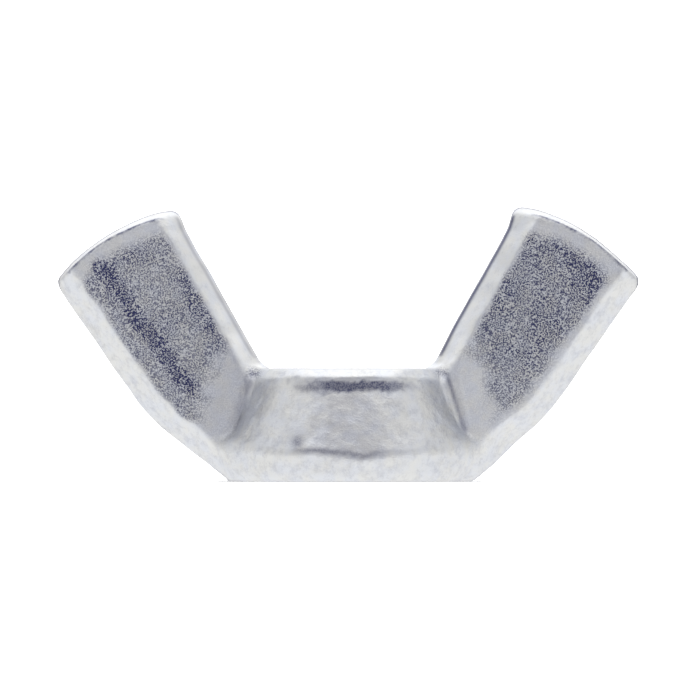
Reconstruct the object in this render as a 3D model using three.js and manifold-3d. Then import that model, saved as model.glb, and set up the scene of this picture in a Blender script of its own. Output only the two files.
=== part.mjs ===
// Wing nut of the American form, size M8: cold forged in one piece from a steel slug, tapped right
// through and zinc plated. Millimetres, +Z up. The thread's axis is Z, the bearing face is the plane
// z = 0, and the two wings spread along X, leaning outwards as they rise.

import * as THREE from "three";
import { mergeVertices } from "three/addons/utils/BufferGeometryUtils.js";
import Module from "manifold-3d";

const wasm = await Module();
wasm.setup();

const { degToRad, lerp, clamp } = THREE.MathUtils;
const FULL_TURN = 2 * Math.PI;

// ---- Driving dimensions -------------------------------------------------------------------------

// Boss: a truncated cone on a short band that tapers down to the bearing face.
const BOSS_HEIGHT = 5.95;
const BEARING_RADIUS = 6.3; // the flat that bears on the work
const BAND_FOOT_RADIUS = 6.66; // just above the rounded bottom edge
const BAND_FOOT_HEIGHT = 0.36;
const BAND_RADIUS = 6.88; // the widest place, where the two halves of the die met
const BAND_HEIGHT = 1.5;
const BAND_RISE = 0.6; // how much higher the band's top runs where it meets the wings
const NECK_RADIUS = 5.55; // the upright stretch under the top chamfer
const NECK_FOOT = 4.85;
const CONE_TOP = 4.5;
const CONE_TOP_RADIUS = 5.68;
const CHAMFER_HEIGHT = 0.5;
const CHAMFER_RADIUS = 5.05; // where the chamfer meets the flat top

// Wings, as seen square on: each has an inner edge, an outer edge with a knee, and a domed end.
const OUTER_FOOT_X = 6.25; // where the outer edge starts on the bearing face
const OUTER_FOOT_ANGLE = degToRad(39);
const OUTER_ANGLE = degToRad(55);
const OUTER_KNEE_X = 10.47;
const INNER_ANGLE = degToRad(60.5);
const INNER_ROOT_X = 4.39; // where the inner edge would meet the boss's top
const END_RADIUS = 10.5; // the domed end's arc
const END_CENTRE = new THREE.Vector2(7.12, 4.04);
const KNEE_REACH = 1.5; // how far each soft corner reaches along its two edges
const ROOT_REACH = 0.55;
const OUTER_TIP_REACH = 0.62;
const INNER_TIP_REACH = 0.45;

// Wings, as seen end on: flat faces that draw together towards the tips, with bevelled edges.
const ROOT_HALF_THICKNESS = 2.15;
const TIP_HALF_THICKNESS = 1.7;
const ROOT_X = 6;
const TIP_X = 15.2;
const EDGE_BEVEL = 1.05; // how far the bevel takes the face in from the edge
const END_CROWN = 0.28; // how far the domed end stands out at mid thickness
const BEVEL_LAND = 0.25; // share of the half thickness that stays upright at the edge
const PLATE_LEVELS = [1, 0.7, 0.35, 0.1, -0.1, -0.35, -0.7, -1]; // shares of the half thickness

// The hollow corner between a wing's face and the boss.
const CORNER_RADIUS = 0.85;
const CORNER_RADIUS_AT_BAND = 0.12;
const CORNER_FULL_HEIGHT = 2.7;
const CORNER_SINK = 0.02; // the corner starts this far under the wing's face

// Thread, M8 x 1.25, with a countersink at each mouth.
const THREAD_RADIUS = 4;
const PITCH = 1.25;
const MINOR_RADIUS = THREAD_RADIUS - 0.54127 * PITCH;
const FLANK_ANGLE = degToRad(30);
const COUNTERSINK_RADIUS = 4.2;
const COUNTERSINK_ANGLE = degToRad(60); // from the axis
const BORE_OVERRUN = 1; // how far the cutting tools pass each face

// Fineness
const BOSS_ARC_POINTS = 14; // round a quarter of the boss
const CORNER_ARC_POINTS = 4;
const CURVE_POINTS = 5; // on each soft corner of the wing's outline
const END_POINTS = 9;
const TURN_STEPS = 40; // round the bore, and along one turn of the thread

// ---- Helpers ------------------------------------------------------------------------------------

// A manifold solid of a closed geometry.
function solid(geometry) {
  const bare = geometry.index ? geometry.toNonIndexed() : geometry.clone();
  bare.deleteAttribute("normal");
  bare.deleteAttribute("uv");
  const merged = mergeVertices(bare, 1e-5);
  return new wasm.Manifold(
    new wasm.Mesh({
      numProp: 3,
      vertProperties: new Float32Array(merged.attributes.position.array),
      triVerts: new Uint32Array(merged.index.array),
    }),
  );
}

// A solid's surface as a three.js geometry with flat facets.
function surface(made) {
  const { numProp, numVert, vertProperties, triVerts } = made.getMesh();
  const points = new Float32Array(numVert * 3);
  for (let i = 0; i < numVert; i++) {
    points.set(vertProperties.subarray(i * numProp, i * numProp + 3), i * 3);
  }
  const geometry = new THREE.BufferGeometry();
  geometry.setAttribute("position", new THREE.BufferAttribute(points, 3));
  geometry.setIndex(new THREE.BufferAttribute(new Uint32Array(triVerts), 1));
  const faceted = geometry.toNonIndexed();
  faceted.computeVertexNormals();
  return faceted;
}

// A closed geometry through a stack of outlines with equal numbers of points, each running
// anticlockwise; place(point, level) sets a point of that level's outline in space.
function loft(outlines, place) {
  const count = outlines[0].length;
  const last = outlines.length - 1;
  const points = outlines.flatMap((outline, level) => outline.map((p) => place(p, level)));
  const index = [];
  for (let level = 0; level < last; level++) {
    for (let i = 0; i < count; i++) {
      const [a, b] = [level * count + i, level * count + ((i + 1) % count)];
      index.push(a, b, b + count, a, b + count, a + count);
    }
  }
  for (const [a, b, c] of THREE.ShapeUtils.triangulateShape(outlines[0], [])) {
    index.push(c, b, a);
  }
  for (const face of THREE.ShapeUtils.triangulateShape(outlines[last], [])) {
    index.push(...face.map((i) => i + last * count));
  }
  return new THREE.BufferGeometry().setFromPoints(points).setIndex(index);
}

// Where two lines cross, each given by a point and its angle.
function crossing(p, angleP, q, angleQ) {
  const d = new THREE.Vector2(Math.cos(angleP), Math.sin(angleP));
  const e = new THREE.Vector2(Math.cos(angleQ), Math.sin(angleQ));
  const along = q.clone().sub(p).cross(e) / d.cross(e);
  return p.clone().addScaledVector(d, along);
}

// ---- Boss ---------------------------------------------------------------------------------------

// Radius and height up the boss's side, from the bearing face to the flat top.
const BOSS_PROFILE = [
  [BEARING_RADIUS, 0],
  [lerp(BEARING_RADIUS, BAND_FOOT_RADIUS, 0.65), BAND_FOOT_HEIGHT * 0.3],
  [BAND_FOOT_RADIUS, BAND_FOOT_HEIGHT],
  [BAND_RADIUS, BAND_HEIGHT],
  [lerp(BAND_RADIUS, CONE_TOP_RADIUS, 0.36), lerp(BAND_HEIGHT, CONE_TOP, 0.36)],
  [CONE_TOP_RADIUS, CONE_TOP],
  [lerp(CONE_TOP_RADIUS, NECK_RADIUS, 0.8), lerp(CONE_TOP, NECK_FOOT, 0.6)],
  [NECK_RADIUS, NECK_FOOT],
  [NECK_RADIUS, BOSS_HEIGHT - CHAMFER_HEIGHT],
  [CHAMFER_RADIUS, BOSS_HEIGHT],
];

function cornerRadius(height) {
  const share = (height - BAND_HEIGHT) / (CORNER_FULL_HEIGHT - BAND_HEIGHT);
  return lerp(CORNER_RADIUS_AT_BAND, CORNER_RADIUS, clamp(share, 0, 1));
}

// One quarter of the boss in plan, from the wing's face round to the Y axis: a hollow corner, then
// the boss's own circle.
function quarterPlan(radius, corner) {
  const face = ROOT_HALF_THICKNESS - CORNER_SINK;
  const centreY = face + corner;
  const centreX = Math.sqrt((radius + corner) ** 2 - centreY ** 2);
  const meeting = Math.atan2(centreY, centreX);
  const points = [];
  for (let i = 0; i < CORNER_ARC_POINTS; i++) {
    const angle = lerp(-Math.PI / 2, meeting - Math.PI, i / CORNER_ARC_POINTS);
    const x = centreX + corner * Math.cos(angle);
    points.push(new THREE.Vector2(x, centreY + corner * Math.sin(angle)));
  }
  for (let i = 0; i < BOSS_ARC_POINTS; i++) {
    const angle = lerp(meeting, Math.PI / 2, i / BOSS_ARC_POINTS);
    points.push(new THREE.Vector2(radius * Math.cos(angle), radius * Math.sin(angle)));
  }
  return points;
}

// The boss's whole plan, anticlockwise: the quarter, and its images in the YZ and XZ planes.
function bossPlan(radius, corner) {
  const quarter = quarterPlan(radius, corner);
  const half = [
    ...quarter,
    new THREE.Vector2(0, radius),
    ...quarter.map((p) => new THREE.Vector2(-p.x, p.y)).reverse(),
  ];
  return [...half, ...half.map((p) => new THREE.Vector2(-p.x, -p.y))];
}

// The height of a point of the side: the band's top rises towards the wings, and takes with it what
// lies between the foot and the neck.
function sideHeight(p, height) {
  const below = clamp((height - BAND_FOOT_HEIGHT) / (BAND_HEIGHT - BAND_FOOT_HEIGHT), 0, 1);
  const above = clamp((NECK_FOOT - height) / (NECK_FOOT - BAND_HEIGHT), 0, 1);
  const towardsWing = (Math.abs(p.x) / p.length()) ** 4;
  return height + BAND_RISE * towardsWing * Math.min(below, above);
}

function boss() {
  const plans = BOSS_PROFILE.map(([radius, z]) => bossPlan(radius, cornerRadius(z)));
  const place = (p, level) => new THREE.Vector3(p.x, p.y, sideHeight(p, BOSS_PROFILE[level][1]));
  return loft(plans, place);
}

// ---- Wings --------------------------------------------------------------------------------------

// Where a line crosses the domed end's arc, for a line that starts inside the arc.
function meetsEnd(point, angle, radius) {
  const d = new THREE.Vector2(Math.cos(angle), Math.sin(angle));
  const from = point.clone().sub(END_CENTRE);
  const half = from.dot(d);
  const along = -half + Math.sqrt(half ** 2 - from.lengthSq() + radius ** 2);
  return point.clone().addScaledVector(d, along);
}

// The right-hand wing's outline in X and Z, from the bearing face round to the middle of the boss's
// top. Its side edges are drawn in by side, and its end by end.
function wingOutline(side, end) {
  const foot = new THREE.Vector2(OUTER_FOOT_X, 0);
  const kneeZ = (OUTER_KNEE_X - OUTER_FOOT_X) * Math.tan(OUTER_FOOT_ANGLE);
  const bend = new THREE.Vector2(OUTER_KNEE_X, kneeZ);
  const inwards = (angle, amount) =>
    new THREE.Vector2(-Math.sin(angle), Math.cos(angle)).multiplyScalar(amount);
  const lowerStart = foot.add(inwards(OUTER_FOOT_ANGLE, side));
  const upperStart = bend.add(inwards(OUTER_ANGLE, side));
  const innerStart = new THREE.Vector2(INNER_ROOT_X, BOSS_HEIGHT).sub(inwards(INNER_ANGLE, side));
  const topStart = new THREE.Vector2(0, BOSS_HEIGHT - (side * CHAMFER_HEIGHT) / EDGE_BEVEL);
  const radius = END_RADIUS - end;

  const start = crossing(new THREE.Vector2(0, 0), 0, lowerStart, OUTER_FOOT_ANGLE);
  const knee = crossing(lowerStart, OUTER_FOOT_ANGLE, upperStart, OUTER_ANGLE);
  const outerTip = meetsEnd(upperStart, OUTER_ANGLE, radius);
  const innerTip = meetsEnd(innerStart, INNER_ANGLE, radius);
  const root = crossing(topStart, 0, innerStart, INNER_ANGLE);
  const bearing = (p) => Math.atan2(p.y - END_CENTRE.y, p.x - END_CENTRE.x);
  const onEnd = (angle) =>
    new THREE.Vector2(Math.cos(angle), Math.sin(angle)).multiplyScalar(radius).add(END_CENTRE);
  const step = (p, angle, amount) =>
    p.clone().add(new THREE.Vector2(Math.cos(angle), Math.sin(angle)).multiplyScalar(amount));
  const endFrom = bearing(outerTip) + OUTER_TIP_REACH / radius;
  const endTo = bearing(innerTip) - INNER_TIP_REACH / radius;

  const soft = (from, corner, to) =>
    new THREE.QuadraticBezierCurve(from, corner, to).getPoints(CURVE_POINTS);
  const dome = [];
  for (let i = 1; i < END_POINTS; i++) {
    dome.push(onEnd(lerp(endFrom, endTo, i / END_POINTS)));
  }
  return [
    start,
    ...soft(step(knee, OUTER_FOOT_ANGLE, -KNEE_REACH), knee, step(knee, OUTER_ANGLE, KNEE_REACH)),
    ...soft(step(outerTip, OUTER_ANGLE, -OUTER_TIP_REACH), outerTip, onEnd(endFrom)),
    ...dome,
    ...soft(onEnd(endTo), innerTip, step(innerTip, INNER_ANGLE, -INNER_TIP_REACH)),
    ...soft(step(root, INNER_ANGLE, ROOT_REACH), root, step(root, 0, -ROOT_REACH)),
  ];
}

// Both wings and the bar that joins them inside the boss, as one anticlockwise outline.
function platePlan(level) {
  const share = Math.abs(level);
  const side = EDGE_BEVEL * clamp((share - BEVEL_LAND) / (1 - BEVEL_LAND), 0, 1);
  const right = wingOutline(side, END_CROWN * share ** 2);
  return [...right, ...right.map((p) => new THREE.Vector2(-p.x, p.y)).reverse()];
}

function halfThickness(x) {
  const share = (Math.abs(x) - ROOT_X) / (TIP_X - ROOT_X);
  return lerp(ROOT_HALF_THICKNESS, TIP_HALF_THICKNESS, clamp(share, 0, 1));
}

function wings() {
  const plans = PLATE_LEVELS.map(platePlan);
  const place = (p, level) =>
    new THREE.Vector3(p.x, PLATE_LEVELS[level] * halfThickness(p.x), p.y);
  return loft(plans, place);
}

// ---- Thread and bore ----------------------------------------------------------------------------

// The thread's groove as a solid: its section is extruded straight, then wound round the axis. The
// flanks run on inside the bore so that the groove breaks out of it cleanly.
function threadGroove() {
  const rootFlat = PITCH / 16;
  const buried = MINOR_RADIUS - 0.1;
  const mouth = rootFlat + (THREAD_RADIUS - buried) * Math.tan(FLANK_ANGLE);
  const section = new THREE.Shape([
    new THREE.Vector2(buried, -mouth),
    new THREE.Vector2(THREAD_RADIUS, -rootFlat),
    new THREE.Vector2(THREAD_RADIUS, rootFlat),
    new THREE.Vector2(buried, mouth),
  ]);
  const turns = Math.ceil((BOSS_HEIGHT + 2 * BORE_OVERRUN) / PITCH);
  const groove = new THREE.ExtrudeGeometry(section, {
    depth: turns,
    steps: turns * TURN_STEPS,
    bevelEnabled: false,
  });
  const position = groove.attributes.position;
  const at = new THREE.Vector3();
  for (let i = 0; i < position.count; i++) {
    at.fromBufferAttribute(position, i);
    const angle = at.z * FULL_TURN;
    const height = at.z * PITCH - at.y - BORE_OVERRUN;
    position.setXYZ(i, at.x * Math.cos(angle), at.x * Math.sin(angle), height);
  }
  return groove;
}

// The bore at the thread's crests, opened out by a countersink at each face. Its corners fall half a
// step away from the groove's.
function bore() {
  const depth = (COUNTERSINK_RADIUS - MINOR_RADIUS) / Math.tan(COUNTERSINK_ANGLE);
  const profile = [
    [0, -BORE_OVERRUN],
    [COUNTERSINK_RADIUS, -BORE_OVERRUN],
    [COUNTERSINK_RADIUS, 0],
    [MINOR_RADIUS, depth],
    [MINOR_RADIUS, BOSS_HEIGHT - depth],
    [COUNTERSINK_RADIUS, BOSS_HEIGHT],
    [COUNTERSINK_RADIUS, BOSS_HEIGHT + BORE_OVERRUN],
    [0, BOSS_HEIGHT + BORE_OVERRUN],
  ];
  return new THREE.LatheGeometry(
    profile.map(([radius, z]) => new THREE.Vector2(radius, z)),
    TURN_STEPS,
  )
    .rotateX(Math.PI / 2)
    .rotateZ(Math.PI / TURN_STEPS);
}

// ---- The nut ------------------------------------------------------------------------------------

const forging = solid(boss()).add(solid(wings()));
const tapped = forging.subtract(solid(bore())).subtract(solid(threadGroove()));

const zincPlatedSteel = new THREE.MeshStandardMaterial({
  color: 0xc3c7cc,
  metalness: 1,
  roughness: 0.38,
});
const nut = new THREE.Mesh(surface(tapped), zincPlatedSteel);
nut.name = "wing_nut_body";

const wingNut = new THREE.Group();
wingNut.add(nut);

export default wingNut;
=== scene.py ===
"""Wing nut, cold forged in one piece and zinc plated: a Blender add-on that is run as a script."""

import math

import bmesh
import bpy
import numpy as np
from bpy.props import FloatProperty, FloatVectorProperty, PointerProperty
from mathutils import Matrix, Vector, noise
from mathutils.kdtree import KDTree


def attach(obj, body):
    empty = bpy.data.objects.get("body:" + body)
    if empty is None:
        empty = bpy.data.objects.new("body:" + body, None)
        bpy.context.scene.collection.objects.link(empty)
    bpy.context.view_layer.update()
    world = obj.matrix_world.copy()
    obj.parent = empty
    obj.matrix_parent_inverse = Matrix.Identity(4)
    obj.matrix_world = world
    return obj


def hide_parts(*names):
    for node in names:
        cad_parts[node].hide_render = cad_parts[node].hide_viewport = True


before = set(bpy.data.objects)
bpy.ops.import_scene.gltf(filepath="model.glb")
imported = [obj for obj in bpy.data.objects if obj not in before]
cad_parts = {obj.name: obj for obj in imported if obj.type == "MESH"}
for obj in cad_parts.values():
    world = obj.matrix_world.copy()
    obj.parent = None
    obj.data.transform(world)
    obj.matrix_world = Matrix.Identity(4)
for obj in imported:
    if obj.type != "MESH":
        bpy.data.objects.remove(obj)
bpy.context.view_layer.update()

bl_info = {
    "name": "Forged wing nut",
    "version": (1, 0, 0),
    "blender": (4, 5, 0),
    "location": "View3D > Sidebar > Wing nut",
    "description": "Makes a cold forged, zinc plated wing nut and the studio it stands in",
    "category": "Object",
}

# The nut is shaped in millimetres on the bench and scaled to metres when it is finished.
MM = 0.001


def linear(hex_colour):
    """An sRGB hex colour as linear red, green, blue and alpha."""
    channels = [int(hex_colour[i : i + 2], 16) / 255 for i in (1, 3, 5)]
    return [c / 12.92 if c <= 0.04045 else ((c + 0.055) / 1.055) ** 2.4 for c in channels] + [1]


# ---- Settings ---------------------------------------------------------------------------------


def length(name, description, default_mm):
    """A size, with its default in millimetres."""
    return FloatProperty(name=name, description=description, default=default_mm * MM, unit="LENGTH")


def angle(name, description, default_degrees):
    """A slope, with its default in degrees."""
    default = math.radians(default_degrees)
    return FloatProperty(name=name, description=description, default=default, subtype="ANGLE")


def tint(name, description, hex_colour):
    """A colour, with its default as sRGB hex."""
    default = linear(hex_colour)[:3]
    return FloatVectorProperty(
        name=name, description=description, default=default, size=3, min=0, max=1, subtype="COLOR"
    )


class ForgingSizes(bpy.types.PropertyGroup):
    """Sizes of the forged body."""

    boss_height: length("Boss height", "From the bearing face to the boss's flat top", 5.95)
    bearing_radius: length("Bearing radius", "Of the flat that bears on the work", 6.3)
    band_radius: length("Band radius", "Of the boss at its widest", 6.88)
    band_height: length("Band height", "Of the band round the boss's foot", 1.5)
    band_rise: length("Band rise", "How much higher the band runs at the wings", 0.6)
    neck_radius: length("Neck radius", "Of the upright stretch under the top chamfer", 5.56)
    chamfer: length("Top chamfer", "How far the chamfer drops from the boss's top", 0.5)
    root_thickness: length("Root thickness", "Of a wing where it leaves the boss", 4.3)
    tip_thickness: length("Tip thickness", "Of a wing at its end", 3.4)
    outer_bevel: length("Outer bevel", "Width of the bevel along a wing's outer edge", 1.12)
    inner_bevel: length("Inner bevel", "Width of the bevel along a wing's inner edge", 0.93)
    end_radius: length("End radius", "Of the domed end of a wing, as seen square on", 10.5)
    end_crown: length("End crown", "How far the end stands out at mid thickness", 0.36)
    outer_angle: angle("Outer angle", "Of a wing's outer edge, from the bearing face", 55)
    foot_angle: angle("Foot angle", "Of a wing's underside below the knee", 39)
    inner_angle: angle("Inner angle", "Of a wing's inner edge, from the boss's top", 60.5)
    grain: length("Grain", "Spacing of the forged surface's points", 0.108)
    ripple: length("Ripple", "How uneven the forged surface is", 0.03)


class ThreadSizes(bpy.types.PropertyGroup):
    """Sizes of the tapped hole."""

    radius: length("Thread radius", "To the bottoms of the grooves", 4)
    pitch: length("Pitch", "Advance in one turn", 1.25)
    countersink: length("Countersink radius", "Of the flared mouths", 4.2)


class ZincColours(bpy.types.PropertyGroup):
    """Colours of the zinc plating."""

    bright: tint("Bright zinc", "Most of the plating", "#e7e7e9")
    blue: tint("Blue tinge", "Where the clear passivate is thicker", "#dbe2ec")
    straw: tint("Straw tinge", "Where the clear passivate is thinner", "#e5e6e0")
    # The dusky colour also paints shade: in the creases, along the outline, on the boss and in the pits.
    dusk: tint("Dusky zinc", "Duller deposit in the hollows", "#40446a")


# ---- Bench tools ------------------------------------------------------------------------------


def bench_object(name, bm):
    """Put a bmesh into the scene as an object of its own."""
    mesh = bpy.data.meshes.new(name)
    bm.to_mesh(mesh)
    bm.free()
    made = bpy.data.objects.new(name, mesh)
    bpy.context.scene.collection.objects.link(made)
    return made


def apply_modifiers(piece):
    """Give a piece the mesh that its modifiers make, and take them off."""
    evaluated = piece.evaluated_get(bpy.context.evaluated_depsgraph_get())
    mesh = bpy.data.meshes.new_from_object(evaluated)
    old = piece.data
    piece.modifiers.clear()
    piece.data = mesh
    bpy.data.meshes.remove(old)


def remesh(piece, grain, smoothing):
    """Make a piece one closed skin with evenly spaced points, smoothed a number of times."""
    skin = piece.modifiers.new("Skin", "REMESH")
    skin.mode = "VOXEL"
    skin.voxel_size = grain
    if smoothing:
        ease = piece.modifiers.new("Ease", "SMOOTH")
        ease.factor = 0.5
        ease.iterations = smoothing
    apply_modifiers(piece)


def join_into(piece, other):
    """Add another object's mesh to a piece's, and take the other away."""
    bm = bmesh.new()
    bm.from_mesh(piece.data)
    bm.from_mesh(other.data)
    bm.to_mesh(piece.data)
    bm.free()
    discard(other)


def discard(piece):
    """Take an object and its mesh out of the scene."""
    mesh = piece.data
    bpy.data.objects.remove(piece)
    bpy.data.meshes.remove(mesh)


def cut(piece, tool):
    """Cut a tool's shape out of a piece, and take the tool away."""
    trim = piece.modifiers.new("Cut", "BOOLEAN")
    trim.operation = "DIFFERENCE"
    trim.solver = "MANIFOLD"
    trim.object = tool
    apply_modifiers(piece)
    discard(tool)


def points_of(mesh, attribute="co"):
    """A mesh's points, or their normals, as rows of an array."""
    flat = np.empty(len(mesh.vertices) * 3)
    mesh.vertices.foreach_get(attribute, flat)
    return flat.reshape(-1, 3)


def set_points(mesh, points):
    mesh.vertices.foreach_set("co", points.ravel())
    mesh.update()


def ramp(value, low, high):
    """0 below low, 1 above high, and a smooth step between them."""
    share = np.clip((value - low) / (high - low), 0, 1)
    return share * share * (3 - 2 * share)


def soft_min(a, b, reach):
    """The smaller of two values, rounded over where they are within reach of each other."""
    share = np.clip(0.5 + 0.5 * (b - a) / reach, 0, 1)
    return b + (a - b) * share - reach * share * (1 - share)


def soft_max(a, b, reach):
    return -soft_min(-a, -b, reach)


def hump(value, centre, width):
    """1 at the centre, falling away to nothing over about twice the width to either side."""
    return np.exp(-(((value - centre) / width) ** 2))


def waves(points, size, shift=(0, 0, 0)):
    """Smooth noise from about -1 to 1 at each point, with waves of about the given size."""
    offset = Vector(shift)
    return np.array([noise.noise(Vector(p) / size + offset) for p in points])


def distance_to(points, chosen):
    """How far each point lies from the nearest of the chosen ones."""
    tree = KDTree(int(np.count_nonzero(chosen)))
    for index in np.flatnonzero(chosen):
        tree.insert(points[index], int(index))
    tree.balance()
    return np.array([tree.find(point)[2] for point in points])


def turned(name, profile, steps, longest_side=math.inf):
    """A solid turned about the axis from half of its section, given as radii and heights."""
    bm = bmesh.new()
    corners = [bm.verts.new((radius, 0, z)) for radius, z in profile]
    for start, end in zip(corners, corners[1:]):
        bm.edges.new((start, end))
    while sides := [side for side in bm.edges if side.calc_length() > longest_side]:
        bmesh.ops.subdivide_edges(bm, edges=sides, cuts=1)
    bmesh.ops.spin(
        bm,
        geom=bm.verts[:] + bm.edges[:],
        cent=(0, 0, 0),
        axis=(0, 0, 1),
        angle=math.tau,
        steps=steps,
        use_merge=True,
    )
    bmesh.ops.remove_doubles(bm, verts=bm.verts, dist=1e-4)
    bmesh.ops.recalc_face_normals(bm, faces=bm.faces)
    return bench_object(name, bm)


# ---- Forging ----------------------------------------------------------------------------------


class WingPlan:
    """A wing as seen square on: distances in millimetres from its edges, inwards."""

    FOOT_X = 6.25  # where its underside leaves the bearing face
    KNEE_X = 10.47  # where its underside turns up into its outer edge
    ROOT_X = 4.39  # where its inner edge leaves the boss's top
    END_CENTRE = (7.12, 4.04)  # of the arc of its end
    THICKEST_X = 6  # it thins from here
    THINNEST_X = 15.2  # to here
    CORNER_REACH = 0.3  # over which an edge turns at the knee and at the root

    def __init__(self, sizes):
        self.height = sizes.boss_height / MM
        self.foot_angle = sizes.foot_angle
        self.outer_angle = sizes.outer_angle
        self.inner_angle = sizes.inner_angle
        self.foot = Vector((self.FOOT_X, 0))
        self.knee = Vector((self.KNEE_X, (self.KNEE_X - self.FOOT_X) * math.tan(self.foot_angle)))
        self.root = Vector((self.ROOT_X, self.height))
        self.end_centre = Vector(self.END_CENTRE)
        self.end_radius = sizes.end_radius / MM
        self.end_crown = sizes.end_crown / MM
        self.root_half = sizes.root_thickness / MM / 2
        self.tip_half = sizes.tip_thickness / MM / 2

    def at_end(self, start, slope):
        """Where a line from start crosses the end's arc."""
        way = Vector((math.cos(slope), math.sin(slope)))
        back = (start - self.end_centre).dot(way)
        reach = self.end_radius**2 - (start - self.end_centre).length_squared
        return start + way * (math.sqrt(back**2 + reach) - back)

    def from_line(self, x, z, start, slope):
        """How far points lie to the left of a line that climbs from start."""
        return (z - start.y) * math.cos(slope) - (x - start.x) * math.sin(slope)

    def outer(self, x, z):
        lower = self.from_line(x, z, self.foot, self.foot_angle)
        upper = self.from_line(x, z, self.knee, self.outer_angle)
        return soft_min(lower, upper, self.CORNER_REACH)

    def inner(self, x, z):
        side = -self.from_line(x, z, self.root, self.inner_angle)
        return soft_max(side, self.height - z, self.CORNER_REACH)

    def end(self, x, z):
        return self.end_radius - np.hypot(x - self.end_centre.x, z - self.end_centre.y)

    def half_thickness(self, aside):
        share = np.clip((aside - self.THICKEST_X) / (self.THINNEST_X - self.THICKEST_X), 0, 1)
        return self.root_half + (self.tip_half - self.root_half) * share

    def end_fall(self, x, z):
        """How far the end's front and back edges lie inside its arc, and how far its middle does."""
        across = np.abs(x) - self.end_centre.x
        reach = np.maximum(np.hypot(across, z - self.end_centre.y), 1e-6)
        at_inner = 1 - ramp(across / reach, 0.1, 0.72)
        # The metal didn't fill both ends of the die alike.
        middle = np.where(x > 0, -0.15 * at_inner, 0.05)
        return middle + self.end_crown * (0.5 + 0.5 * at_inner), middle

    def crease(self, z):
        """How far from the axis the crease between wing and boss lies at a height."""
        return 5.2 + 0.32 * (5.75 - z)


def band_dip(x, y):
    """How far the band's top edge sags where the metal ran short at the front."""
    return 0.22 * hump(x, 0.9, 1.2) * ramp(-y, 0, 2)


def boss_blank(sizes):
    """The boss as a turned solid, its edges wandering as a forging's do."""
    height = sizes.boss_height / MM
    bearing = sizes.bearing_radius / MM
    band = sizes.band_radius / MM
    band_top = sizes.band_height / MM
    land = sizes.neck_radius / MM
    shoulder = land - 0.23
    profile = [
        (0, 0),
        (bearing, 0),
        (bearing + 0.2, 0.12),
        (band - 0.26, 0.36),
        (band, band_top - 0.1),
        (band - 0.02, band_top + 0.14),
        (shoulder, height - sizes.chamfer / MM),
        (shoulder - 0.45, height),
        (0, height),
    ]
    blank = turned("boss", profile, 288, longest_side=0.15)

    points = points_of(blank.data)
    x, y, z = points.T
    radius = np.maximum(np.hypot(x, y), 1e-6)
    sideways = np.abs(x) / radius
    wander = waves(points, 1.3) * 0.13 + waves(points, 0.5, (5, 0, 0)) * 0.05
    # At the front and back the metal has filled the die, so there the cone ends in an upright land.
    filled = 1 - ramp(sideways + wander * 0.4, 0.42, 0.6)
    at = z + wander * 0.7
    bulge = ramp(at, 4.72, 4.84) * np.clip(land - radius, 0, 0.25) * filled * ramp(radius, 4.6, 5.2)
    points[:, :2] *= (1 + bulge / radius)[:, None]
    # Beside the wings the band swells to meet their bevels.
    slant = np.degrees(np.arctan2(np.abs(y), np.abs(x)))
    wing_side = 19
    swell = 0.075 * hump(slant, wing_side, 11) * ramp(z, 0.1, 0.9) * (1 - ramp(z, 1.6, 2.3))
    points[:, :2] *= (1 + swell * ramp(radius, 5.6, 6.2))[:, None]
    # The cone's flanks swell towards the creases.
    flank = 0.35 * hump(slant, wing_side, 7.5) * ramp(z, 2.2, 5.2)
    points[:, :2] *= (1 + flank / radius * ramp(radius, 4.4, 4.9))[:, None]
    # Under the wings it is drawn in, so that it runs on into their undersides.
    drawn_in = 0.3 * ramp(sideways, 0.86, 0.99) * (1 - ramp(z, 0.9, 1.6)) * ramp(z, 0, 0.2)
    points[:, :2] *= (1 - drawn_in / band * ramp(radius, 5.6, 6.2))[:, None]
    # The band runs higher at the wings, and its edges and the cone's wander.
    rise = np.minimum(ramp(z, 0.3, 1.5), 1 - ramp(z, 1.5, 4.9))
    free = np.minimum(ramp(z, 0.3, 1.2), 1 - ramp(z, height - 0.7, height))
    points[:, 2] += sizes.band_rise / MM * sideways**4 * rise + wander * free
    points[:, 2] -= band_dip(x, y) * np.minimum(ramp(z, 0.4, 1.4), 1 - ramp(z, 1.7, 3.4))
    set_points(blank.data, points)
    return blank


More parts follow.
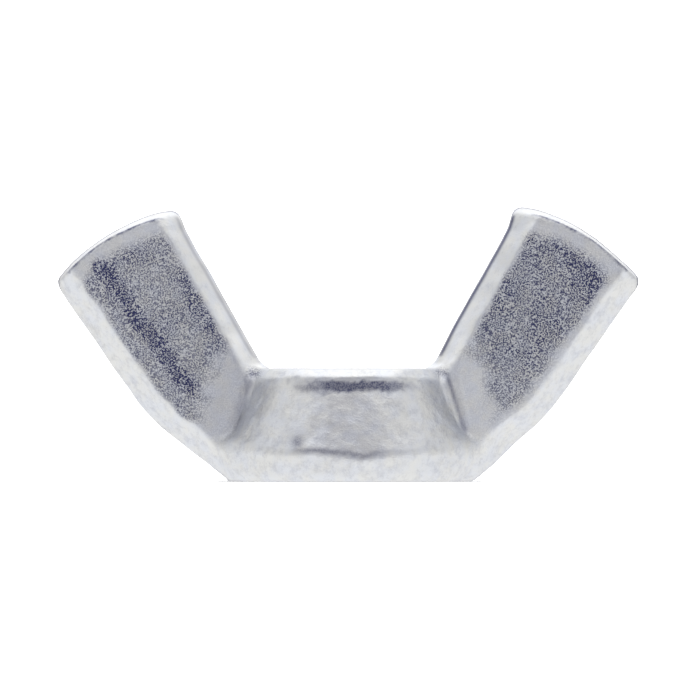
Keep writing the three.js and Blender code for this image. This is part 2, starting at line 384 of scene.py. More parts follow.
def wings_blank(sizes, plan):
    """Both wings and the bar between them, as a flat plate with an evenly pointed skin."""
    half = plan.root_half
    outer_tip = plan.at_end(plan.knee, plan.outer_angle)
    inner_tip = plan.at_end(plan.root, plan.inner_angle)
    centre = Vector((plan.end_centre.x, -half, plan.end_centre.y))
    sweep = (outer_tip - plan.end_centre).angle_signed(inner_tip - plan.end_centre)

    bm = bmesh.new()
    tip = bm.verts.new((outer_tip.x, -half, outer_tip.y))
    bmesh.ops.spin(bm, geom=[tip], cent=centre, axis=(0, 1, 0), angle=sweep, steps=24)
    bm.verts.ensure_lookup_table()
    ends = sorted((v for v in bm.verts if len(v.link_edges) == 1), key=lambda v: v.co.x)
    corners = [plan.root, Vector((0, plan.height)), Vector((0, 0)), plan.foot, plan.knee]
    chain = [ends[0]] + [bm.verts.new((c.x, -half, c.y)) for c in corners] + [ends[1]]
    for start, end in zip(chain, chain[1:]):
        bm.edges.new((start, end))
    bmesh.ops.contextual_create(bm, geom=bm.edges)
    solid = bmesh.ops.extrude_face_region(bm, geom=bm.faces[:])["geom"]
    moved = [part for part in solid if isinstance(part, bmesh.types.BMVert)]
    bmesh.ops.translate(bm, verts=moved, vec=(0, 2 * half, 0))
    reaches = ((inner_tip, 0.4), (plan.root, 0.5), (plan.knee, 0.9), (outer_tip, 0.62))
    for corner, reach in reaches:
        across = [
            edge
            for edge in bm.edges
            if all((v.co.xz - corner).length < 1e-3 for v in edge.verts)
        ]
        bmesh.ops.bevel(
            bm, geom=across, affect="EDGES", offset=reach, offset_type="OFFSET",
            segments=6, profile=0.5, material=-1,
        )
    bmesh.ops.mirror(bm, geom=bm.verts[:] + bm.edges[:] + bm.faces[:], axis="X")
    bmesh.ops.recalc_face_normals(bm, faces=bm.faces)
    blank = bench_object("wings", bm)
    remesh(blank, sizes.grain / MM, smoothing=0)
    return blank


def shape_wings(blank, sizes, plan):
    """Draw the plate's faces in to the bevels, thin it towards its ends and crown the ends."""
    points = points_of(blank.data)
    x, y, z = points.T
    aside = np.abs(x)
    right = np.where(x > 0, 1, 0)
    wobble = waves(points * (1, 0, 1), 1.1, (0, 7, 0)) * 0.07
    outer = plan.outer(aside, z) + wobble
    inner = plan.inner(aside, z) + wobble
    end = plan.end(aside, z)
    half = plan.half_thickness(aside)
    # The bevel turns steeper at the foot, where it runs on from the boss's band.
    foot = hump(aside, 6.2, 1.4) * (1 - ramp(z, 1.8, 3.6))
    land = 0.25 * half + 1.3 * foot
    edge = soft_min(outer / (sizes.outer_bevel / MM), inner / (sizes.inner_bevel / MM), 0.1)
    depth = land + (half - land) * soft_min(np.maximum(edge, 0), 1, 0.12)
    # The wing is thicker at the crease and a little thinner at the end's front and back edges.
    depth += 0.45 * hump(aside, plan.crease(z), 1.5) * ramp(edge, 0.2, 1.2)
    depth -= 0.17 * (1 - ramp(end, 0.1, 1.25)) * ramp(edge, 0.5, 1.2)
    # Under the wings the metal has run out of the boss's band.
    band = np.sqrt(np.maximum((sizes.band_radius / MM - 0.15) ** 2 - aside**2, 0))
    run_out = soft_max(depth, band, 1.3) - np.maximum(depth, band)
    depth += run_out * (1 - ramp(z, 1.6, 2.6)) * ramp(aside, 5, 6)
    across = y / plan.root_half
    points[:, 1] = across * depth
    # The end falls back towards both faces, most of all near its inner corner.
    edges, middle = plan.end_fall(x, z)
    fall = middle + (edges - middle) * across**2
    fall *= (1 - ramp(end, 0, 0.9)) * 0.7 + (1 - ramp(end, 0, 2.5)) * 0.3
    outward = np.stack([aside - plan.end_centre.x, z - plan.end_centre.y])
    outward /= np.maximum(np.hypot(*outward), 1e-6)
    # It burred at the inner corners.
    burr = (0.16 + 0.05 * right) * (1 - ramp(end, 0.2, 1.3)) * (1 - ramp(inner, 0, 0.8))
    points[:, 0] -= np.sign(x) * (outward[0] * fall + burr)
    points[:, 2] -= outward[1] * fall
    # The right wing's inner edge stands a little further in.
    points[:, 0] -= 0.1 * right * ramp(z, 6.5, 8.5) * (1 - ramp(inner, 0.2, 1.2))
    # The two halves of the die met a little off line at the foot.
    points[:, 0] += (0.1 + 0.22 * right) * (1 - ramp(z, 0.6, 2.4)) * ramp(aside, 5.5, 6.5)
    # The edges wave a little.
    sway = waves(points * (1, 0, 1), 2.4, (1, 4, 0)) * 0.06 * ramp(z, 1.5, 4)
    points[:, 0] += sway * ramp(aside, 6, 8)
    set_points(blank.data, points)


def ease_junctions(piece, plan):
    """Round the hollows between the boss and the wings."""
    points = points_of(piece.data)
    x, y, z = points.T
    aside = np.abs(x)
    at_foot = hump(aside, 6.7, 0.9) * (1 - ramp(z, 1.9, 3)) * ramp(np.abs(y), 0.9, 1.5)
    beside = np.abs(aside - plan.crease(z))
    at_crease = (1 - ramp(beside, 0.3, 1)) * ramp(z, 1.8, 2.6) * (1 - ramp(z, 5.2, 5.6)) * 0.35
    at_root = hump(aside, 5, 0.6) * hump(z, 5.7, 0.5) * 0.8
    shares = np.maximum(np.maximum(at_foot, at_crease), at_root)
    shares[shares < 0.01] = 0
    group = piece.vertex_groups.new(name="junctions")
    for index in np.flatnonzero(shares):
        group.add([int(index)], float(shares[index]), "REPLACE")
    ease = piece.modifiers.new("Ease", "SMOOTH")
    ease.factor = 0.5
    ease.iterations = 90
    ease.vertex_group = group.name
    apply_modifiers(piece)
    piece.vertex_groups.clear()


def age_forging(piece, sizes, plan):
    """Roughen the skin as forging and barrel plating leave it, and score the creases."""
    mesh = piece.data
    points = points_of(mesh)
    normals = points_of(mesh, "normal")
    x, y, z = points.T
    aside = np.abs(x)
    # The wings are more uneven than the boss.
    ripple = sizes.ripple / MM
    lift = ripple * (waves(points, 1.6) + 0.4 * waves(points, 0.7, (3, 1, 0)))
    lift *= 0.25 + 0.75 * ramp(np.hypot(x, y), 6.6, 7)
    lift += 0.07 * ripple * waves(points, 0.32, (9, 0, 4))
    # The die dragged the cone's skin upwards as the nut left it.
    on_cone = ramp(z, 1.8, 2.4) * (1 - ramp(z, 4.4, 4.9)) * (1 - ramp(aside, 5, 5.6))
    lift += on_cone * 0.006 * waves(points * (1, 1, 0.12), 0.3, (0, 2, 8))
    # The crease between boss and wing, with the drag lines of the die down it.
    beside = aside - plan.crease(z)
    in_crease = ramp(np.abs(y), 1.4, 2.0) * ramp(z, 2.2, 3.2) * (1 - ramp(z, 5.3, 5.8))
    groove = hump(beside, 0, 0.2) * np.where(x > 0, -0.07, -0.03)
    ridge_at = 0.12 + 0.13 * np.clip(z - 2.4, 0, 3.2)
    ridge = hump(beside, ridge_at, 0.14) * np.where(x > 0, 0.05, 0)
    drags = 0.01 * np.sin(beside * math.tau / 0.23 + waves(points, 1.5, (0, 0, 6)) * 3)
    lift += in_crease * (groove + ridge + drags * hump(beside, 0, 0.5))
    # The bearing face stays flat.
    points += normals * (lift * ramp(z, 0.02, 0.3))[:, None]
    points[:, 2] = np.maximum(points[:, 2], 0)
    set_points(mesh, points)


# ---- Tapping ----------------------------------------------------------------------------------


THREAD_DEPTH = 0.54127  # of an ISO metric thread in a nut, in pitches
THREAD_FLANK = math.radians(30)
COUNTERSINK_FLANK = math.radians(60)
CLEAR = 1  # how far a tool stands out of the hole at each end


def bore_tool(sizes, thread):
    """The hole at the thread's crests, flared at both mouths."""
    height = sizes.boss_height / MM
    minor = (thread.radius - THREAD_DEPTH * thread.pitch) / MM
    mouth = thread.countersink / MM
    depth = (mouth - minor) / math.tan(COUNTERSINK_FLANK)
    profile = [
        (0, -CLEAR),
        (mouth, -CLEAR),
        (mouth, 0),
        (minor, depth),
        (minor, height - depth),
        (mouth, height),
        (mouth, height + CLEAR),
        (0, height + CLEAR),
    ]
    return turned("bore tool", profile, 128)


def tap_tool(sizes, thread):
    """The thread's groove: its section wound up the axis."""
    radius = thread.radius / MM
    pitch = thread.pitch / MM
    buried = radius - THREAD_DEPTH * pitch - 0.1
    root = pitch / 16
    mouth = root + (radius - buried) * math.tan(THREAD_FLANK)
    section = [(buried, -mouth), (radius, -root), (radius, root), (buried, mouth)]
    turns = math.ceil((sizes.boss_height / MM + 2 * CLEAR) / pitch)
    steps = 96
    bm = bmesh.new()
    face = bm.faces.new([bm.verts.new((r, 0, z - CLEAR)) for r, z in section])
    bmesh.ops.spin(
        bm,
        geom=[face] + list(face.edges) + list(face.verts),
        cent=(0, 0, 0),
        axis=(0, 0, 1),
        dvec=(0, 0, pitch / steps),
        angle=math.tau * turns,
        steps=steps * turns,
    )
    bmesh.ops.remove_doubles(bm, verts=bm.verts, dist=1e-5)
    bmesh.ops.holes_fill(bm, edges=[e for e in bm.edges if e.is_boundary], sides=0)
    bmesh.ops.recalc_face_normals(bm, faces=bm.faces)
    return bench_object("tap tool", bm)


# ---- Where the skin differs -------------------------------------------------------------------


class Skin:
    """Where each point of the nut's skin lies, in millimetres, with one value for each point."""

    def __init__(self, mesh, sizes, plan):
        self.points = points_of(mesh)
        self.x, self.y, self.z = self.points.T
        self.left = np.where(self.x < 0, 1, 0)
        self.radius = np.hypot(self.x, self.y)
        # Away from the axis to either side, and from the middle of the thickness to front or back.
        self.aside = np.abs(self.x)
        self.from_middle = np.abs(self.y)
        # 1 where the skin faces the front or the back, 0 where it is square to them.
        self.facing = np.abs(points_of(mesh, "normal")[:, 1])
        # How far in from the inner edge, from the two bevels, from the end and from the crease.
        self.wobble = self.waves(0.8, (0, 0, 11)) * 0.22
        self.rim = plan.inner(self.aside, self.z)
        self.inner = self.rim - sizes.inner_bevel / MM + self.wobble
        self.outer = plan.outer(self.aside, self.z) - sizes.outer_bevel / MM + self.wobble
        self.end = plan.end(self.aside, self.z)
        self.face_end = self.end - plan.end_fall(self.x, self.z)[0]
        self.root = self.aside - plan.crease(self.z)
        # 1 on the flat faces of the wings, 0 on their bevels and on the boss.
        self.on_face = ramp(self.from_middle / plan.half_thickness(self.aside), 0.62, 0.78)
        self.on_face *= ramp(self.root, -0.7, 0.1)
        self.on_face *= ramp(self.outer, -0.15, 0.15) * ramp(self.inner, -0.15, 0.15)

    def waves(self, size, shift=(0, 0, 0)):
        return waves(self.points, size, shift)


def coarse_skin(skin):
    """The wing faces keep the die's coarse skin, a little smoother on the left and low down."""
    smoother = 0.16 * skin.left + 0.16 * (1 - skin.left) * (1 - ramp(skin.z, 5, 8))
    return (
        skin.on_face
        * ramp(skin.outer, 0.1 - 0.15 * skin.left, 0.7 - 0.4 * skin.left)
        * ramp(skin.inner, -0.1, 0.3)
        * ramp(skin.end + skin.wobble, 0.55, 1.5)
        * ramp(skin.root + skin.wobble * 3, 0.8, 2.6)
        * (1 - smoother)
    )


def torn_skin_and_corner_shade(skin):
    """The skin is torn where each inner bevel meets the boss's top, and the darker colour of its pits
    there is also painted shade in that corner.
    """
    return hump(skin.aside, 4.9, 0.4) * hump(skin.z, 5.75, 0.3) * ramp(skin.from_middle, 1, 1.5)


def face_shade_and_patches(skin, coarse):
    """Darker colour on the wing faces: a painted dark reflection streak down the left one, painted shade
    beside its inner edge, darker patches by the ends, and patches that drift.
    """
    # A painted dark reflection down the left face, where a facet faces the dim front.
    dark_reflection_streak = hump(skin.outer, 1.45, 0.31) * (0.15 + 1.25 * skin.left)
    dark_reflection_streak *= (0.85 + 0.6 * skin.waves(0.45, (0, 6, 0))) * ramp(skin.root, 1.4, 3.4)
    # Painted shade beside the left wing's inner edge.
    inner_edge_shade = hump(skin.inner, 0.5, 0.6) * ramp(skin.end, 2.5, 4) * (1 - ramp(skin.end, 6.5, 8))
    by_end = 1 - ramp(skin.end, 1.6, 3.4)
    by_end *= np.where(skin.x > 0, ramp(skin.inner, 0.8, 2.6), 0.35)
    drift = skin.waves(1.5, (2, 0, 0)) * 0.5 + skin.waves(0.6, (0, 2, 0)) * 0.3
    shade_and_deposit = np.clip(dark_reflection_streak + inner_edge_shade * 0.55 * skin.left + by_end * 0.75 + drift, 0, 1)
    return coarse * (shade_and_deposit * 0.52 + dark_reflection_streak * skin.left * 0.6)


def boss_shade_and_smudge(skin):
    """Painted shade on the boss, under the chamfer and along the band's top, and a dull smudge."""
    wander = skin.waves(0.9, (7, 3, 0)) * 0.2 + skin.waves(0.3, (1, 3, 5)) * 0.1
    ragged = wander + skin.waves(0.22, (6, 6, 0)) * 0.12
    # Painted shade on the upright land under the chamfer, which faces the dim front.
    under_chamfer = ramp(skin.z + ragged, 4.5, 4.85) * (1 - ramp(skin.z + ragged * 0.8, 5.2, 5.38))
    under_chamfer *= 1 - ramp(np.abs(skin.x - 0.4) + wander * 5, 1.4, 3.4)
    # Painted shade in a line along the band's top.
    over_band = hump(skin.z + band_dip(skin.x, skin.y) + ragged * 0.6, 1.66, 0.14)
    over_band *= 1 - ramp(np.abs(skin.x + 0.4), 1.4, 2.9)
    smudge = hump(skin.x, -2.6, 0.38) * hump(skin.z, 2.1, 0.36)
    outside = ramp(skin.radius, 5.0, 5.2)
    return outside * np.clip(under_chamfer * 0.85 + over_band * 0.5 + smudge * 0.65, 0, 1)


def painted_outline_shade(skin, height):
    """Painted shade in thin lines along the outline.

    They are plainest beside the right wing's inner edge, and faint round the wings' ends, the boss's
    top and the bearing face.
    """
    # Painted shade: dark lines just inside the outline, where the edges curve away.
    on_outline = (skin.from_middle < 0.2) & (skin.aside > 4.8)
    inside = distance_to(skin.points * (1, 0, 1), on_outline)
    side = hump(inside, np.where(skin.x > 0, 0.11, 0.19), 0.09) * np.where(skin.x > 0, 0.85, 0.34)
    side *= ramp(skin.facing, 0.15, 0.4)
    side += (1 - ramp(inside, 0.03, 0.13)) * (0.1 + 0.1 * skin.waves(0.7, (4, 0, 0)))
    side *= (1 - ramp(skin.rim, 0.5, 0.7)) * ramp(skin.end, 0.3, 0.6) * ramp(skin.z, 5.9, 7)
    end = (1 - ramp(inside, 0.02, 0.09)) * (1 - ramp(skin.end, 0.3, 0.5))
    top = ramp(skin.z, height - 0.08, height - 0.02) * ramp(skin.radius, 4.7, 4.8)
    top *= 1 - ramp(skin.aside, 4.2, 4.6)
    base = (1 - ramp(skin.z, 0.02, 0.12)) * ramp(skin.radius, 6.1, 6.3)
    return side + end * 0.6 + top * 0.25 + base * 0.16


def end_edge_lines(skin):
    """The fine dark line along the front and back edges of the ends."""
    between = np.minimum(skin.inner, skin.outer)
    on_end = (skin.facing < 0.45) & (skin.end < 0.9) & (between > -0.35) & (skin.from_middle > 0.9)
    line = (1 - ramp(distance_to(skin.points, on_end), 0.11, 0.22)) * ramp(skin.facing, 0.4, 0.5)
    line *= ramp(between, -0.35, -0.1) * np.clip(0.75 + 0.7 * skin.waves(0.4), 0, 1)
    return line * 0.85


def crease_shade(skin):
    """Painted shade along the creases: narrow on the right, broad on the left."""
    middle = np.where(skin.x > 0, -0.05, -0.25)
    width = np.where(skin.x > 0, 0.13, 0.36)
    line = hump(skin.root, middle, width) * np.where(skin.x > 0, 0.6, 0.45)
    line *= ramp(skin.z, 2, 3) * (1 - ramp(skin.z, 5.5, 5.9)) * ramp(skin.from_middle, 1.2, 1.7)
    return line * (0.8 + 0.5 * waves(skin.points * (1, 1, 0.2), 0.2))


def dulled_skin(skin):
    """The inner bevels and the left wing's root stayed a little duller than the rest."""
    bevels = (1 - ramp(skin.inner, -0.15, 0.05)) * ramp(skin.z, 6, 6.5)
    left_root = skin.left * skin.on_face * hump(skin.root, 1, 0.9)
    return bevels * 0.05 + left_root * 0.15


def mark_zones(mesh, sizes, plan):
    """Store how coarse, satin and dusky each point is, and where lines and patches of painted shade and
    of evenly duller zinc lie.
    """
    skin = Skin(mesh, sizes, plan)
    coarse = coarse_skin(skin)
    on_boss = boss_shade_and_smudge(skin)
    # Painted shade goes in here: in lines along the outline and in the creases, and on the boss.
    even = painted_outline_shade(skin, sizes.boss_height / MM) + end_edge_lines(skin)
    even += crease_shade(skin) + dulled_skin(skin) + on_boss * 0.68
    zones = {
        "coarse": np.maximum(np.maximum(coarse, torn_skin_and_corner_shade(skin) * 0.8), skin.on_face * 0.14),
        "satin": skin.on_face * ramp(skin.face_end, 0, 0.06),
        # The dusky zone carries the painted streak and inner-edge shade on the wing faces and the boss's
        # painted shade.
        "dusky": np.clip(face_shade_and_patches(skin, coarse) + on_boss * 0.36, 0, 1),
        "shade_and_dull": np.clip(even, 0, 1),
    }
    for name, values in zones.items():
        layer = mesh.attributes.new(name, "FLOAT", "POINT")
        layer.data.foreach_set("value", values.astype(np.float32))


def shade(mesh, thread):
    """Shade smoothly, but keep the tapped hole's edges crisp."""
    hole = thread.countersink / MM + 0.2
    bm = bmesh.new()
    bm.from_mesh(mesh)
    for face in bm.faces:
        face.smooth = True
    for edge in bm.edges:
        in_hole = max(v.co.xy.length for v in edge.verts) < hole
        if in_hole and edge.calc_face_angle(0) > math.radians(25):
            edge.smooth = False
    bm.to_mesh(mesh)
    bm.free()


# ---- Zinc plating -----------------------------------------------------------------------------


COLOUR_RESULT = 2  # where a Mix node of colours has its result among its outputs


def add_node(tree, kind, settings=None, links=None):
    """Add a node, set its properties and sockets, and link its inputs."""
    node = tree.nodes.new(kind)
    sockets = {socket.name: socket for socket in reversed(node.inputs)}
    sockets |= {socket.identifier: socket for socket in node.inputs}
    for key, value in (settings or {}).items():
        if hasattr(node, key):
            setattr(node, key, value)
        else:
            sockets[key].default_value = value
    for key, source in (links or {}).items():
        tree.links.new(source, sockets[key])
    return node


def zinc_plated_steel(colours):
    """Bright zinc on forged steel, clear passivated, tumbled in a plating barrel.

    The barrel leaves the edges and bevels smooth and bright. The wing faces keep the coarse skin of the
    forging die, pitted, with painted shade and a duller deposit in the pits, so they look darker and
    speckled. Painted shade also lies evenly in the creases, in lines along the outline and on the boss.
    """
    material = bpy.data.materials.new("zinc_plated_forged_steel")
    material.use_nodes = True
    tree = material.node_tree
    tree.nodes.clear()
    place = add_node(tree, "ShaderNodeTexCoord").outputs["Object"]
    zones = ("coarse", "satin", "dusky", "shade_and_dull")
    coarse, satin, dusky, shade_and_dull = (
        add_node(tree, "ShaderNodeAttribute", {"attribute_name": zone}).outputs["Fac"] for zone in zones
    )

    # The passivate's tinges drift over the plating in patches about 0.9 mm across.
    drift = add_node(
        tree,
        "ShaderNodeTexNoise",
        {"Scale": 1 / (0.9 * MM), "Detail": 3},
        {"Vector": place},
    )
    drift_share = add_node(
        tree,
        "ShaderNodeMapRange",
        {"From Min": 0.38, "From Max": 0.62},
        {"Value": drift.outputs["Fac"]},
    )
    tinges = add_node(
        tree,
        "ShaderNodeMix",
        {"data_type": "RGBA", "A_Color": [*colours.blue, 1], "B_Color": [*colours.straw, 1]},
        {"Factor_Float": drift_share.outputs["Result"]},
    )
    tinged = add_node(
        tree,
        "ShaderNodeMix",
        {"data_type": "RGBA", "Factor_Float": 0.4, "A_Color": [*colours.bright, 1]},
        {"B_Color": tinges.outputs[COLOUR_RESULT]},
    )
    # Painted shade and a duller deposit sit in the pits of the die's skin, which are about 0.07 mm apart.
    pits = add_node(
        tree,
        "ShaderNodeTexNoise",
        {"Scale": 1 / (0.074 * MM), "Detail": 1, "Roughness": 0.6},
        {"Vector": place},
    )
    pit_share = add_node(
        tree,
        "ShaderNodeMapRange",
        {"From Min": 0.42, "From Max": 0.58},
        {"Value": pits.outputs["Fac"]},
    )
    pitted = add_node(
        tree,
        "ShaderNodeMath",
        {"operation": "MULTIPLY_ADD", "Value_001": 0.92},
        {"Value": coarse, "Value_002": dusky},
    )
    # A faint film of it lies over the whole of a coarse or dusky place.
    film = add_node(
        tree,
        "ShaderNodeMapRange",
        {"To Min": 0.2, "To Max": 1},
        {"Value": pit_share.outputs["Result"]},
    )
    shade_and_deposit = add_node(
        tree,
        "ShaderNodeMath",
        {"operation": "MULTIPLY"},
        {"Value": pitted.outputs["Value"], "Value_001": film.outputs["Result"]},
    )
    # The painted shade along the outline, in the creases and on the boss is added here.
    darkening = add_node(
        tree,
        "ShaderNodeMath",
        {"operation": "ADD", "use_clamp": True},
        {"Value": shade_and_deposit.outputs["Value"], "Value_001": shade_and_dull},
    )
    # Elsewhere the plating has only a faint mottle, in patches about half a millimetre across.
    mottle = add_node(
        tree,
        "ShaderNodeTexNoise",
        {"Scale": 1 / (0.5 * MM), "Detail": 5, "Roughness": 0.8},
        {"Vector": place},
    )
    mottle_share = add_node(
        tree,
        "ShaderNodeMapRange",
        {"From Min": 0.46, "From Max": 0.78, "To Max": 0.3},
        {"Value": mottle.outputs["Fac"]},
    )
    mottled = add_node(
        tree,
        "ShaderNodeMath",
        {"operation": "MAXIMUM"},
        {"Value": darkening.outputs["Value"], "Value_001": mottle_share.outputs["Result"]},
    )
    # The dusky colour stands for the duller deposit and mottle, and paints the shade too.
    colour = add_node(
        tree,
        "ShaderNodeMix",
        {"data_type": "RGBA", "B_Color": [*colours.dusk, 1]},
        {"A_Color": tinged.outputs[COLOUR_RESULT], "Factor_Float": mottled.outputs["Value"]},
    )

    # Bevels and boss are burnished in the barrel; the flat faces stay satin.
    roughness = add_node(
        tree,
        "ShaderNodeMapRange",
        {"To Min": 0.3, "To Max": 0.46},
        {"Value": satin},
    )

    # The pits are drawn about 0.05 mm deep on the die's skin, deeper than real ones so that they show,
    # and are all but burnished away elsewhere. The mottle comes with shallower dimples.
    pit_depth = add_node(
        tree,
        "ShaderNodeMapRange",
        {"To Min": -0.07, "To Max": -1},
        {"Value": coarse},
    )
    skin_depth = add_node(
        tree,
        "ShaderNodeMath",
        {"operation": "MULTIPLY"},
        {"Value": pits.outputs["Fac"], "Value_001": pit_depth.outputs["Result"]},
    )
    skin = add_node(
        tree,
        "ShaderNodeBump",
        {"Strength": 1, "Distance": 0.13 * MM},
        {"Height": skin_depth.outputs["Value"]},
    )
    dimpled = add_node(
        tree,
        "ShaderNodeBump",
        {"Strength": 1, "Distance": 0.03 * MM},
        {"Height": mottle.outputs["Fac"], "Normal": skin.outputs["Normal"]},
    )
    shader = add_node(
        tree,
        "ShaderNodeBsdfPrincipled",
        {"Metallic": 1},
        {
            "Base Color": colour.outputs[COLOUR_RESULT],
            "Roughness": roughness.outputs["Result"],
            "Normal": dimpled.outputs["Normal"],
        },
    )
    add_node(tree, "ShaderNodeOutputMaterial", None, {"Surface": shader.outputs["BSDF"]})
    return material


# ---- Studio -----------------------------------------------------------------------------------


FLOOR_HALF = 4  # metres
TENT_RADIUS = 0.5  # metres
TENT_GLOW = 1.35
SURROUND_GLOW = 2.2
CAMERA_AWAY = 1  # metres in front of the nut
CAMERA_SIDE = 0.13 * MM
CAMERA_HEIGHT = 6.9 * MM
LENS_MM = 980  # long, so that the nut is seen almost without perspective
SENSOR_MM = 36


def matt_card():
    """Matt white card: no sheen, a little off white."""
    material = bpy.data.materials.new("matt_white_card")
    material.use_nodes = True
    shader = material.node_tree.nodes["Principled BSDF"]
    shader.inputs["Base Color"].default_value = linear("#e9e9e9")
    shader.inputs["Roughness"].default_value = 0.9
    shader.inputs["Specular IOR Level"].default_value = 0
    return material


def tent_light():
    """Light tent: glowing cloth all round, brightest overhead, with a white sheet hung behind.

    The camera looks in through a dim opening at the front, and a dark gap runs under the sheet.
    """
    material = bpy.data.materials.new("tent_cloth")
    material.use_nodes = True
    material.cycles.emission_sampling = "NONE"
    tree = material.node_tree
    tree.nodes.clear()
    place = add_node(tree, "ShaderNodeTexCoord").outputs["Object"]
    way = add_node(tree, "ShaderNodeVectorMath", {"operation": "NORMALIZE"}, {"Vector": place})
    parts = add_node(tree, "ShaderNodeSeparateXYZ", None, {"Vector": way.outputs["Vector"]})
    height = add_node(
        tree,
        "ShaderNodeMapRange",
        {"From Min": -1, "From Max": 1},
        {"Value": parts.outputs["Z"]},
    )
    cloth = add_node(tree, "ShaderNodeValToRGB", None, {"Fac": height.outputs["Result"]})
    # Brightness at heights from 0, straight down, to 1, straight overhead.
    below, overhead = cloth.color_ramp.elements
    below.color = (0.74, 0.74, 0.74, 1)
    overhead.color = (1, 1, 1, 1)
    for level, glow in ((0.35, 0.72), (0.5, 0.57), (0.72, 0.54), (0.87, 0.66), (0.97, 1)):
        cloth.color_ramp.elements.new(level).color = (glow, glow, glow, 1)
    colour = cloth.outputs["Color"]
    # Each patch has a centre and a size as seen from the nut, and the share of its size at which it
    # starts and stops fading into the cloth.
    sheet = ("#ffffff", (0, 0.8, 0.6), (0.85, 0.8, 0.6), 0.5, 1.2)
    gap = ("#74747e", (0, 1, 0), (0.6, 0.9, 0.28), 0.6, 1.2)
    opening = ("#a2a2a8", (0, -0.97, 0.3), (0.8, 0.9, 0.6), 0.55, 1.35)
    for hue, centre, size, fade_start, fade_end in (sheet, gap, opening):
        away = add_node(
            tree,
            "ShaderNodeVectorMath",
            {"operation": "SUBTRACT", "Vector_001": centre},
            {"Vector": way.outputs["Vector"]},
        )
        scaled = add_node(
            tree,
            "ShaderNodeVectorMath",
            {"operation": "DIVIDE", "Vector_001": size},
            {"Vector": away.outputs["Vector"]},
        )
        reach = add_node(
            tree,
            "ShaderNodeVectorMath",
            {"operation": "LENGTH"},
            {"Vector": scaled.outputs["Vector"]},
        )
        faded = add_node(
            tree,
            "ShaderNodeMapRange",
            {"interpolation_type": "SMOOTHSTEP", "From Min": fade_start, "From Max": fade_end},
            {"Value": reach.outputs["Value"]},
        )
        colour = add_node(
            tree,
            "ShaderNodeMix",
            {"data_type": "RGBA", "A_Color": linear(hue)},
            {"Factor_Float": faded.outputs["Result"], "B_Color": colour},
        ).outputs[COLOUR_RESULT]
    glow = add_node(tree, "ShaderNodeEmission", {"Strength": TENT_GLOW}, {"Color": colour})
    add_node(tree, "ShaderNodeOutputMaterial", None, {"Surface": glow.outputs["Emission"]})
    return material


def place_floor():
    bm = bmesh.new()
    bmesh.ops.create_grid(bm, x_segments=1, y_segments=1, size=FLOOR_HALF)
    floor = bench_object("floor", bm)
    floor.data.materials.append(matt_card())
    floor.visible_glossy = False


def place_tent():
    """The tent is only seen in the nut's own reflections."""
    bm = bmesh.new()
    bmesh.ops.create_uvsphere(bm, u_segments=96, v_segments=48, radius=TENT_RADIUS)
    tent = bench_object("light_tent", bm)
    tent.data.materials.append(tent_light())
    tent.visible_camera = False
    tent.visible_diffuse = False
    tent.visible_transmission = False
    tent.visible_shadow = False


def place_world():
    """A soft white surround. It lights the floor and is what the camera sees behind the nut."""
    world = bpy.data.worlds.new("studio")
    world.use_nodes = True
    background = world.node_tree.nodes["Background"]
    background.inputs["Color"].default_value = (1, 1, 1, 1)
    background.inputs["Strength"].default_value = SURROUND_GLOW
    bpy.context.scene.world = world


def place_camera():
    lens = bpy.data.cameras.new("camera")
    lens.lens = LENS_MM
    lens.sensor_width = SENSOR_MM
    lens.clip_start = 0.1
    lens.clip_end = 20
    camera = bpy.data.objects.new("camera", lens)
    camera.location = (CAMERA_SIDE, -CAMERA_AWAY, CAMERA_HEIGHT)
    camera.rotation_euler = (math.pi / 2, 0, 0)
    bpy.context.scene.collection.objects.link(camera)
    bpy.context.scene.camera = camera


# ---- Operators and panel ------------------------------------------------------------------------


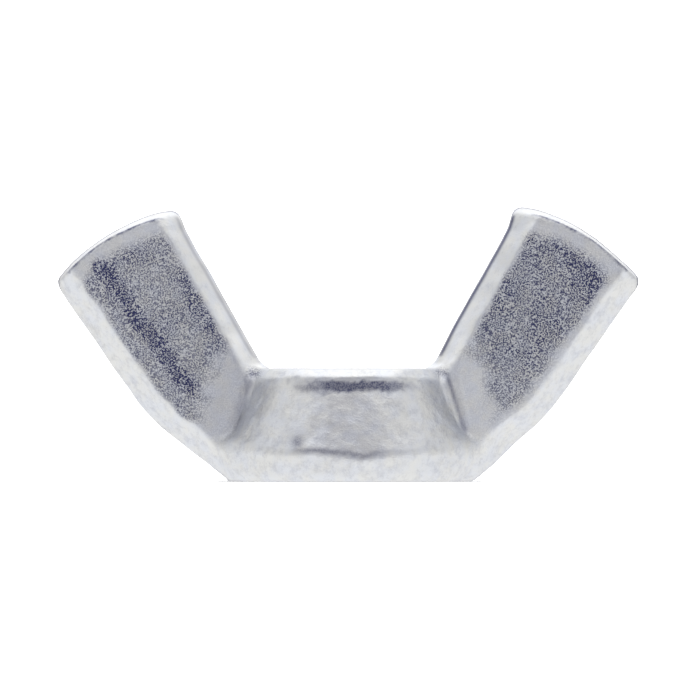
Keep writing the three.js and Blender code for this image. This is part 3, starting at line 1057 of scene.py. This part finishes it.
class WINGNUT_OT_nut(bpy.types.Operator):
    """Forge, tap and plate the wing nut"""

    bl_idname = "wingnut.nut"
    bl_label = "Make wing nut"

    def execute(self, context):
        sizes = context.scene.forging_sizes
        thread = context.scene.thread_sizes
        plan = WingPlan(sizes)
        nut = wings_blank(sizes, plan)
        shape_wings(nut, sizes, plan)
        join_into(nut, boss_blank(sizes))
        remesh(nut, sizes.grain / MM, smoothing=1)
        ease_junctions(nut, plan)
        age_forging(nut, sizes, plan)
        cut(nut, bore_tool(sizes, thread))
        cut(nut, tap_tool(sizes, thread))
        mark_zones(nut.data, sizes, plan)
        shade(nut.data, thread)
        set_points(nut.data, points_of(nut.data) * MM)
        nut.name = nut.data.name = "forged_wing_nut"
        nut.data.materials.clear()
        nut.data.materials.append(zinc_plated_steel(context.scene.zinc_colours))
        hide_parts("wing_nut_body")
        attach(nut, "root")
        return {"FINISHED"}


class WINGNUT_OT_studio(bpy.types.Operator):
    """Put up the floor, the light tent, the soft white surround and the camera"""

    bl_idname = "wingnut.studio"
    bl_label = "Put up studio"

    def execute(self, context):
        context.scene.view_settings.view_transform = "Standard"
        place_floor()
        place_tent()
        place_world()
        place_camera()
        return {"FINISHED"}


class WINGNUT_PT_panel(bpy.types.Panel):
    """Sizes, colours and makers of the wing nut"""

    bl_idname = "WINGNUT_PT_panel"
    bl_label = "Wing nut"
    bl_space_type = "VIEW_3D"
    bl_region_type = "UI"
    bl_category = "Wing nut"

    def draw(self, context):
        scene = context.scene
        for settings in (scene.forging_sizes, scene.thread_sizes, scene.zinc_colours):
            box = self.layout.box()
            for name in settings.__annotations__:
                box.prop(settings, name)
        self.layout.operator(WINGNUT_OT_nut.bl_idname)
        self.layout.operator(WINGNUT_OT_studio.bl_idname)


CLASSES = (
    ForgingSizes,
    ThreadSizes,
    ZincColours,
    WINGNUT_OT_nut,
    WINGNUT_OT_studio,
    WINGNUT_PT_panel,
)


def register():
    for made in CLASSES:
        bpy.utils.register_class(made)
    bpy.types.Scene.forging_sizes = PointerProperty(type=ForgingSizes)
    bpy.types.Scene.thread_sizes = PointerProperty(type=ThreadSizes)
    bpy.types.Scene.zinc_colours = PointerProperty(type=ZincColours)


def unregister():
    del bpy.types.Scene.zinc_colours
    del bpy.types.Scene.thread_sizes
    del bpy.types.Scene.forging_sizes
    for made in reversed(CLASSES):
        bpy.utils.unregister_class(made)


def main():
    register()
    bpy.ops.wingnut.nut()
    bpy.ops.wingnut.studio()


if __name__ == "__main__":
    main()
